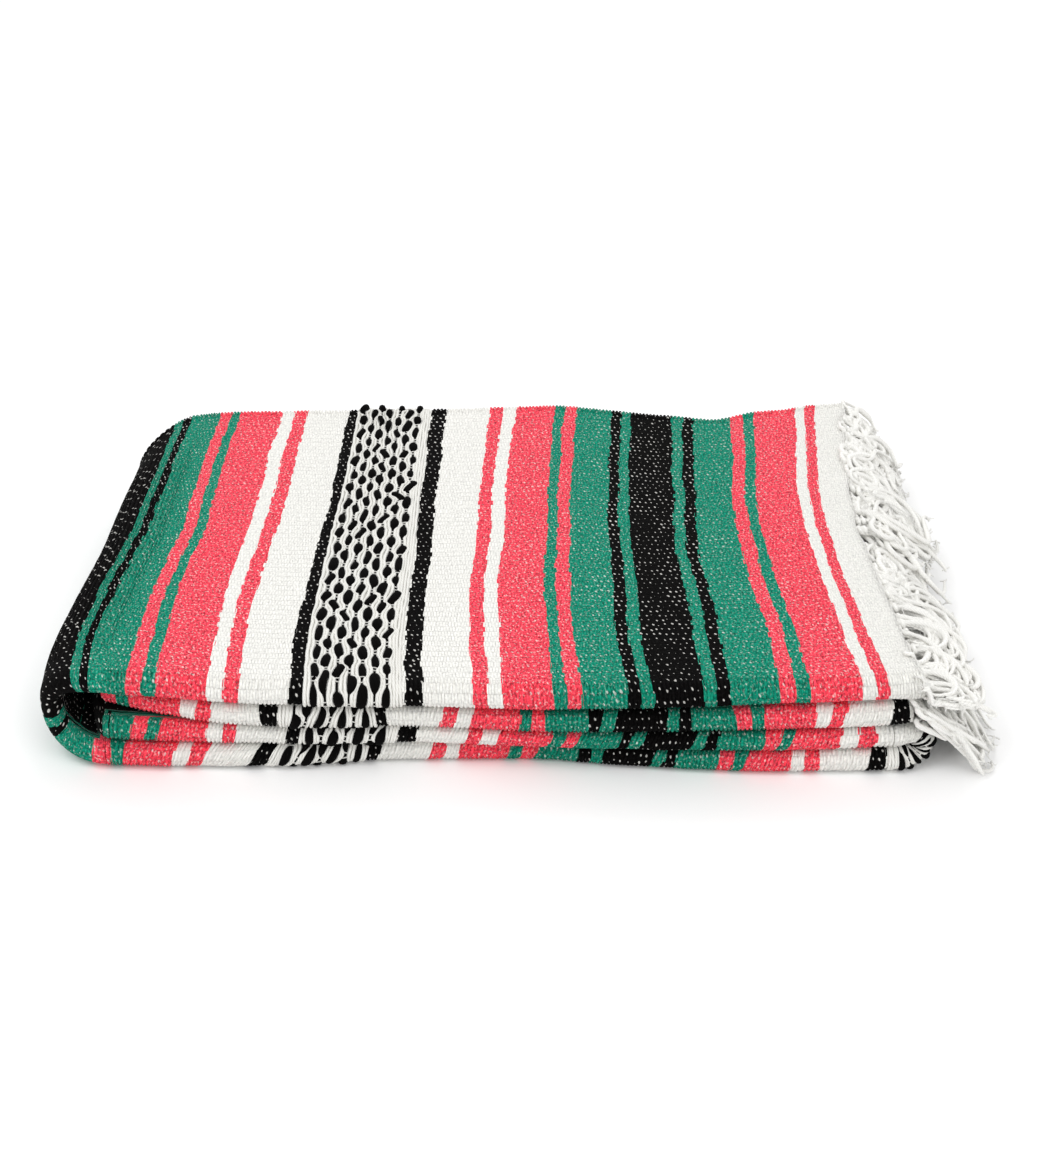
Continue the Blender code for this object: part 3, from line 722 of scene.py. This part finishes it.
def tube_faces(count, length, sides):
    """The faces of many closed tubes: quads along them, and a cap at each end."""
    i, j = np.meshgrid(np.arange(length - 1), np.arange(sides), indexing="ij")
    k = (j + 1) % sides
    quads = np.stack([i * sides + j, i * sides + k, (i + 1) * sides + k, (i + 1) * sides + j], axis=-1)
    ends = np.stack([np.arange(sides)[::-1], (length - 1) * sides + np.arange(sides)])
    first = (np.arange(count) * length * sides)[:, None, None]
    return [(quads.reshape(-1, 4)[None] + first).reshape(-1, 4), (ends[None] + first).reshape(-1, sides)]


def laid_yarns(name, u, v, proud, wide, high, sides):
    """Yarns that lie on the cloth, from arrays with one row of places for each yarn."""
    u, v, proud, wide, high = np.broadcast_arrays(u, v, proud, wide, high)
    angle = -np.arange(sides) * 2 * math.pi / sides
    ring_u = u[..., None] + wide[..., None] * np.cos(angle)
    ring_v = v[..., None] + 0 * angle
    points = place(name, ring_u, ring_v, proud[..., None] + high[..., None] * np.sin(angle))
    return points, tube_faces(*u.shape, sides), np.stack([ring_u, ring_v], axis=-1) * MM


def joined(parts):
    """One set of points, faces and UVs out of several."""
    points = np.concatenate([part[0].reshape(-1, 3) for part in parts])
    uvs = np.concatenate([part[2].reshape(-1, 2) for part in parts])
    first, faces = 0, []
    for part in parts:
        faces += [group + first for group in part[1]]
        first += part[0].size // 3
    return points, faces, uvs


def fold_ribs(name, runs, material):
    """The thick weft yarns where a bend opens the cloth into ribs.

    Each run is the first and last u and v of one bend, and the distance between points.
    """
    parts = []
    for first_u, last_u, first_v, last_v, step in runs:
        u = np.arange(max(first_u, last_u) - RIB_END, min(first_u, last_u) + RIB_END, -RIB_PITCH)
        way = np.abs((u + PERIOD / 2) % PERIOD - PERIOD / 2)
        u = u[way > SLUB_BLOCK + 0.6][:, None]
        count = max(int((last_v - first_v) / step), 8)
        t = np.sin(np.linspace(-1, 1, count)[None] * math.pi / 2)
        v = first_v + (last_v - first_v) * (t + 1) / 2 + 0 * u
        uneven = RIB_UNEVEN * noise(RIPPLES, u / 3.1 + 0 * v, v / 5.0)
        proud = RIB_PROUD - RIB_DIVE * t ** 6 + uneven
        parts.append(laid_yarns(name, u + uneven, v, proud, RIB_HALF_WIDE + uneven, RIB_HALF_HIGH, 6))
    piece = build(name + "_fold_ribs", *joined(parts), material)
    return piece


falsa_cloth = woven("falsa_cloth")
cloths = {name: stretch(name, falsa_cloth) for name in STRETCHES}
# The ribs at the back fold: first and last v, and the distance between points.
BACK_RUN = (LAYER - 9.0, LAYER + 6.0, 1.3)
dressing = {name: [fold_ribs(name, runs, falsa_cloth)] for name, runs in {
    "top_stretch": ((944.0, 527.0, -9.0, 15.0, 2.0), (528.6, 437.0, -9.0, LAYER - 10, 5.0),
                    (944.0, 437.0, *BACK_RUN)),
    "second_stretch": ((-540.0, -957.0, -12.0, 12.0, 2.0), (-540.0, -957.0, *BACK_RUN)),
    "third_stretch": ((-51.0, -454.5, -12.0, 12.0, 2.0), (-51.0, -454.5, *BACK_RUN)),
    "bottom_stretch": ((437.0, -51.0, -12.0, 12.0, 2.0), (437.0, -51.0, *BACK_RUN)),
}.items()}

# The slub bands. In each, seven columns of black weft swell into slubs, staggered from column to
# column. Pairs of thick white yarns wave round them, fine white warp ends tie the thin places
# down, and one column at the side is plain white.

COLUMNS = 7
COLUMN_PITCH = 6.25
# The slubs' spacing in a column, half their length and how it varies, and half their width.
SLUB_PITCH = 17.6
SLUB_HALF = 5.7
SLUB_HALF_VARIES = 0.9
SLUB_WIDE = 2.35
# Half the width of the black yarn between two slubs.
THIN = 0.65
# Height of the cloth's face over its middle.
CLOTH_FACE = 1.15
# How far the columns sit from the band's middle, and where its plain white yarns lie.
COLUMNS_OFF = 1.8
PLAIN_COLUMN = (22.4, 24.0)
# One slub in seven leans over by this much, half of them each way.
LEAN = 3.0
LEAN_CHANCE = 0.07
# Slubs past this v stand loose at the back fold.
LOOSE_FROM = LAYER - 26
TIE_RADIUS = 0.38
TIE_HALF = 2.3


def twisted(name, colour, ply_shade, slant, lay):
    """Soft-spun yarn, loosely twisted: matt and fuzzy, with painted shade in the grooves between its
    plies.

    A ply comes round once for each slant across and each lay along the yarn's UV map.
    """
    material = bpy.data.materials.new(name)
    material.use_nodes = True
    tree = material.node_tree
    layout = node(tree, "UVMap", uv_map="cloth")[0]
    turn = node(tree, "VectorMath", (layout, (1 / slant, 1 / lay, 0.0)), operation="DOT_PRODUCT")[1]
    twist = node(tree, "Math", (turn, 2 * math.pi), operation="MULTIPLY")[0]
    twist = node(tree, "Math", (twist,), operation="SINE")[0]
    twist = node(tree, "Math", (twist,), operation="ABSOLUTE")[0]
    spot = node(tree, "TexCoord")["Object"]
    fibres = node(tree, "TexNoise", {"Vector": spot, "Scale": 1800.0, "Detail": 3.0})[0]
    broad = node(tree, "TexNoise", {"Vector": spot, "Scale": 90.0, "Detail": 2.0})[0]
    # Painted shade: the grooves between the plies are drawn darker.
    groove = node(tree, "MapRange", (twist, 0.0, 0.45, ply_shade, 1.0), interpolation_type="SMOOTHSTEP")[0]
    shade = node(tree, "Math", (broad, 0.12, 0.94), operation="MULTIPLY_ADD")[0]
    shade = node(tree, "Math", (shade, groove), operation="MULTIPLY")[0]
    tint = node(tree, "VectorMath", {0: linear(colour)[:3], 3: shade}, operation="SCALE")[0]
    height = node(tree, "Math", (fibres, 0.8, twist), operation="MULTIPLY_ADD")[0]
    bump = node(tree, "Bump", {"Height": height, "Strength": 0.6, "Distance": 0.0003})[0]
    shader = tree.nodes["Principled BSDF"]
    tree.links.new(tint, shader.inputs["Base Color"])
    tree.links.new(bump, shader.inputs["Normal"])
    shader.inputs["Roughness"].default_value = 0.95
    shader.inputs["Sheen Weight"].default_value = 0.01
    shader.inputs["Specular IOR Level"].default_value = 0.03
    return material


def tubes(paths, radii, sides):
    """Closed tubes in the air, along paths of the same number of points."""
    count, length, _ = paths.shape
    ahead = np.gradient(paths, axis=1)
    ahead /= np.linalg.norm(ahead, axis=-1, keepdims=True)
    reference = np.where(np.abs(ahead[..., 2:3]) > 0.9, [[[1.0, 0.0, 0.0]]], [[[0.0, 0.0, 1.0]]])
    side = np.cross(ahead, reference)
    side /= np.linalg.norm(side, axis=-1, keepdims=True)
    up = np.cross(side, ahead)
    angle = np.arange(sides) * 2 * math.pi / sides
    ring = side[:, :, None] * np.cos(angle)[:, None] - up[:, :, None] * np.sin(angle)[:, None]
    points = paths[:, :, None] + ring * np.asarray(radii)[..., None, None]
    legs = np.linalg.norm(np.diff(paths, axis=1), axis=-1)
    run = np.concatenate([np.zeros((count, 1)), np.cumsum(legs, axis=1)], axis=1)[..., None] + 0 * angle
    uvs = np.stack([angle / (2 * math.pi) + 0 * run, run], axis=-1)
    return points, tube_faces(count, length, sides), uvs


def slub_band(name, middle, first, last, seed):
    """The black and the white yarns of one band, over one run of the cloth."""
    dice = np.random.default_rng(seed)
    v = np.linspace(first, last, max(int((last - first) / 1.5), 12))
    lines, widths, heights, ties = [], [], [], []
    for k in range(COLUMNS):
        stray = 0.4 * noise(WAVES, v / 7.0, 0 * v + 3.3 * k + seed)
        line = (k - COLUMNS / 2) * COLUMN_PITCH + COLUMNS_OFF + stray
        wide = THIN + 0 * v
        lift = 0 * v
        for i in range(math.floor(first / SLUB_PITCH) - 1, math.ceil(last / SLUB_PITCH) + 2):
            here = (i + 0.5 * (k % 2)) * SLUB_PITCH + dice.uniform(-1.8, 1.8)
            half = SLUB_HALF + dice.normal(0.0, SLUB_HALF_VARIES)
            full = SLUB_WIDE + dice.uniform(-0.5, 0.4)
            t = np.clip((v - here) / half, -1, 1)
            swell = (1 - np.abs(t) ** 2.4) ** 0.6
            wide = np.maximum(wide, THIN + (full - THIN) * swell)
            chances = (LEAN_CHANCE, 1 - 2 * LEAN_CHANCE, LEAN_CHANCE)
            lean = dice.normal(0.0, 0.8) + dice.choice((-LEAN, 0.0, LEAN), p=chances)
            line = line + swell * (dice.normal(0.0, 0.55) + lean * t)
            if here > LOOSE_FROM:
                lift = lift + swell * dice.uniform(0.0, 2.4)
            for offset in (-1.3, 1.2):
                tie = here + SLUB_PITCH / 2 + offset + dice.uniform(-0.5, 0.5)
                if first < tie < last:
                    ties.append((np.interp(tie, v, line), tie, dice.uniform(-0.7, 0.7)))
        lines.append(line)
        widths.append(wide)
        heights.append(CLOTH_FACE + 0.35 * wide + lift)
    lines, widths, heights = np.array(lines), np.array(widths), np.array(heights)
    black = laid_yarns(name, middle + lines, v[None], heights, widths, 0.72 * widths, 8)
    # The room between two columns holds a pair of white yarns.
    begins = np.concatenate([0 * v[None] - SLUB_BLOCK - 0.5, lines + widths])
    ends = np.concatenate([lines - widths, 0 * v[None] + PLAIN_COLUMN[0] - 0.9])
    room = np.maximum(ends - begins, 1.3)
    parts = []
    for side in (-1, 1):
        radius = np.clip(0.29 * room, 0.6, 0.98)
        own = np.arange(COLUMNS + 1)[:, None] * 5.1 + side
        loose = 0.25 * noise(WAVES, v[None] / 5.0 + 0 * room, own + 0 * room)
        high = CLOTH_FACE + 0.45 + 0.45 * noise(RIPPLES, v[None] / 6.0 + 0 * room, 2 * room + side)
        across = middle + (begins + ends) / 2 + side * 0.25 * room + loose
        parts.append(laid_yarns(name, across, v[None], high, radius, radius, 6))
    plain = np.array(PLAIN_COLUMN)[:, None]
    drift = 0.3 * noise(WAVES, v[None] / 6.0 + 0 * plain, plain + seed + 0 * v[None])
    parts.append(laid_yarns(name, middle + plain + drift, v[None], CLOTH_FACE + 0.4, 0.82, 0.82, 6))
    if ties:
        table = np.array(ties)
        t = np.linspace(-1, 1, 6)[None]
        across = middle + table[:, :1] + TIE_HALF * t
        high = CLOTH_FACE + 0.1 + 0.95 * (1 - t ** 4)
        lean = table[:, 1:2] + table[:, 2:3] * t
        paths = place(name, across, lean, high + 0 * across)
        parts.append(tubes(paths, np.full(across.shape, TIE_RADIUS * MM), 4))
    return black, joined(parts)


black_weft = twisted("black_slub_weft", "#0A0909", 0.7, 0.004, 0.009)
white_weft = twisted("white_thick_weft", "#EAE9E4", 0.84, 0.0026, 0.005)

# Columns: stretch, the band's middle, and the run of v where it shows.
BANDS = (
    ("top_stretch", 2 * PERIOD, -9.0, LAYER + 1.5),
    ("second_stretch", -2 * PERIOD, -12.0, 13.0),
    ("second_stretch", -2 * PERIOD, 300.0, LAYER + 1.5),
    ("third_stretch", -PERIOD, -12.0, 13.0),
    ("third_stretch", -PERIOD, 300.0, LAYER + 1.5),
    ("bottom_stretch", PERIOD, -12.0, 13.0),
    ("bottom_stretch", 0.0, -12.0, LAYER + 1.5),
)
bands = {name: [] for name in STRETCHES}
for number, (name, middle, first, last) in enumerate(BANDS):
    bands[name].append(slub_band(name, middle, first, last, 40 + number))
for name, made in bands.items():
    slubs = build(name + "_slub_weft", *joined([black for black, white in made]), black_weft)
    waves = build(name + "_white_weft", *joined([white for black, white in made]), white_weft)
    dressing[name] += [slubs, waves]

# The fringe: the white cotton warp ends past both woven ends, knotted in bunches and left loose.
# Its cords are soft and thick, and curl, hook and tangle where they hang over the side.

# How far the cords reach at places from front to back, as a share of their length. The columns
# are: place across, top fringe, second fringe.
FRINGE_SPREAD = np.array((
    (-160, 1.15, 0.95),
    (-110, 1.20, 1.20),
    (-65, 1.12, 1.15),
    (-30, 1.00, 0.98),
    (0, 0.92, 0.90),
    (28, 1.22, 0.90),
    (55, 0.95, 0.86),
    (90, 0.90, 0.84),
    (130, 0.72, 0.80),
    (155, 0.50, 0.75),
))
# Bunches in each fringe, and the cords and thin loose strands in each bunch.
BUNCHES = 58
CORDS = 6
LINTS = 3
CORD_POINTS = 30
FRAY_POINTS = 6
# The least height of a cord's middle over the floor.
FLOOR_CLEAR = 1.4
# Half the thickness of the loose strands, the frayed tips and the knots.
LINT_RADIUS = 0.32
FRAY_RADIUS = 0.45
KNOT_RADIUS = 1.35
# How far past the first and last bunch the cords may stray before they are drawn in.
STRAY = 5


def fringe(name, bundle, end, reach, drop, seed, material):
    """The bunches of one woven end.

    reach is how far a cord gets past the end before it is spread, and drop how far it falls.
    """
    dice = np.random.default_rng(seed)
    front = column(FRONT_EDGES, bundle + 1, end) + 4.0
    back = column(BACK_EDGES, bundle + 1, end) - 4.0
    t = np.linspace(0, 1, CORD_POINTS)
    cords, cord_radii, lint, knots, frays = [], [], [], [], []
    for i in range(BUNCHES):
        y0 = front + (back - front) * (i + 0.5 + dice.uniform(-0.3, 0.3)) / BUNCHES
        low = under(bundle, end, y0)
        high = over(bundle, end, y0)
        z0 = low + (high - low) * dice.uniform(0.2, 0.95)
        x0 = swayed(end, y0) + 0.3
        share = column(FRINGE_SPREAD, 1 if bundle == 3 else 2, y0)
        # Before the front corner the cords lie side by side and loop back.
        looped = np.clip((-y0 - 48) / 25, 0, 1) if bundle == 3 else 0.0
        lean = math.radians(dice.uniform(-24, 24))
        spin = np.linspace(0, 2 * math.pi * 1.7, CORD_POINTS) + dice.uniform(0, 6)
        coil = [x0 - 0.6 + 5.0 * t, y0 + 1.7 * np.cos(spin), z0 + 1.5 * np.sin(spin)]
        knots.append(np.stack(coil, axis=-1))
        for number in range(CORDS + LINTS):
            thick = number < CORDS
            length = reach * share * dice.uniform(1.5, 2.4 if thick else 1.8) * (1 - 0.38 * looped)
            # Each cord swings to and fro, and some turn right back.
            swing = math.radians(dice.uniform(55, 112)) * (1 - 0.85 * looped)
            turns = dice.uniform(0.7, 1.35)
            begin = dice.uniform(0, 2 * math.pi)
            own = noise(RIPPLES, 0 * t + 1.7 * number + 2.9 * i, 4.0 * t + 31.0)
            turned = swing * np.sin(2 * math.pi * turns * t + begin)
            turned = turned + math.radians(50) * (1 - looped) * own
            turned = lean + turned * np.minimum(4 * t, 1)
            turned = turned - math.radians(dice.uniform(130, 215)) * looped * t ** 1.5
            onward, aside = np.cumsum(np.cos(turned[1:])), np.cumsum(np.sin(turned[1:]))
            x = x0 + np.concatenate([[0], onward]) * length / (CORD_POINTS - 1)
            y = y0 + np.concatenate([[0], aside]) * length / (CORD_POINTS - 1)
            y = y + dice.uniform(-1.5, 1.5)
            far_x = x0 + reach * share * dice.uniform(0.8, 1.25)
            x = np.where(x > far_x, far_x + 0.3 * (x - far_x), x)
            x = np.where(x < x0 - 1.5, x0 - 1.5 + 0.25 * (x - x0 + 1.5), x)
            y = np.where(y < front - STRAY, front - STRAY + 0.3 * (y - front + STRAY), y)
            y = np.where(y > back + STRAY, back + STRAY + 0.3 * (y - back - STRAY), y)
            out = np.clip((x - swayed(end, y)) / (reach * share), -0.2, 1.3)
            fall = min(share, 1.0) * drop * dice.uniform(0.8, 1.1) * (1 - 0.5 * looped)
            loft = dice.uniform(-1.0, 3.5) * np.sin(math.pi * np.clip(1.2 * t, 0, 1))
            waves = 1.5 * noise(WAVES, 0 * t + 2.3 * number + i, 3.0 * t)
            z = z0 - fall * np.abs(out) ** 1.5 + loft + waves
            z = np.maximum(z, FLOOR_CLEAR + dice.uniform(0, 2.5))
            # A cord that turns back over the woven end lies on it.
            over_end = np.clip((swayed(end, y) + 1.5 - x) / 2.5, 0, 1)
            z = z + (over(bundle, end, y) + 1.2 - z) * over_end
            path = np.stack([x, y, z], axis=-1)
            if not thick:
                lint.append(path)
                continue
            cords.append(path)
            radius = dice.uniform(1.1, 1.75)
            lumps = 0.22 * noise(WAVES, 0 * t + 3.1 * number + 1.3 * i, 7.0 * t)
            thickness = 0.85 + 0.25 * np.sin(math.pi * t ** 0.7) + lumps
            cord_radii.append(radius * thickness * (1 - 0.4 * t ** 6))
            # The cut end opens into a few loose strands.
            ahead = math.atan2(path[-1, 1] - path[-3, 1], path[-1, 0] - path[-3, 0])
            for _ in range(2):
                s = np.linspace(0, 1, FRAY_POINTS)
                way = ahead + dice.uniform(-0.5, 0.5) + dice.uniform(-2.6, 2.6) * s
                far = dice.uniform(2.0, 4.0)
                loose = path[-2] + np.stack([far * s * np.cos(way), far * s * np.sin(way),
                                             dice.uniform(-2.0, 2.0) * s], axis=-1)
                loose[:, 2] = np.maximum(loose[:, 2], FLOOR_CLEAR)
                frays.append(loose)
    knots = np.array(knots)
    lint = np.array(lint)
    frays = np.array(frays)
    parts = [
        tubes((np.array(cords) - ORIGIN) * MM, np.array(cord_radii) * MM, 5),
        tubes((lint - ORIGIN) * MM, np.full(lint.shape[:2], LINT_RADIUS * MM), 3),
        tubes((frays - ORIGIN) * MM, np.full(frays.shape[:2], FRAY_RADIUS * MM), 3),
        tubes((knots - ORIGIN) * MM, np.full(knots.shape[:2], KNOT_RADIUS * MM), 6),
    ]
    piece = build(name + "_cords", *joined(parts), material)
    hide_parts(name)
    return piece


cotton_cord = twisted("soft_cotton_cord", "#F3F2EE", 0.86, 1.0, 0.0045)
dressing["top_stretch"].append(fringe("top_fringe", 3, TOP_END, 36.0, 24.0, 11, cotton_cord))
dressing["second_stretch"].append(fringe("second_fringe", 2, SECOND_END, 34.0, 29.0, 23, cotton_cord))
